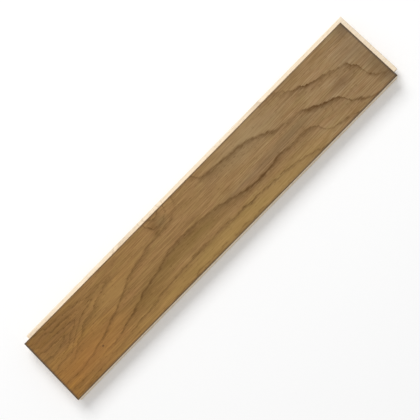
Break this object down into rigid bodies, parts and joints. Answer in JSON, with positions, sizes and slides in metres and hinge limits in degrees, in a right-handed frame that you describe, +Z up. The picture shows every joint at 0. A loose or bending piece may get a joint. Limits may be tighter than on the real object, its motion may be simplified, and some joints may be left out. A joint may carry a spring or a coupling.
{
  "type": "parquet block",
  "caption": "Rectangular solid oak floor block with a finely bevelled, finished face, a tongue along a long edge and an end, and matching grooves opposite, laid in herringbone.",
  "frame": {"origin": "middle of the back, under the middle of the face rectangle", "axes": "+X along the grain to the tongued end, +Y across it to the tongued long edge, +Z up out of the face"},
  "size_m": [0.405, 0.075, 0.015],
  "materials": {
    "oak": "matt oiled face, raw machined edges and back"
  },
  "bodies": {
    "root": {"parquet_block": "oak"}
  },
  "joints": []
}
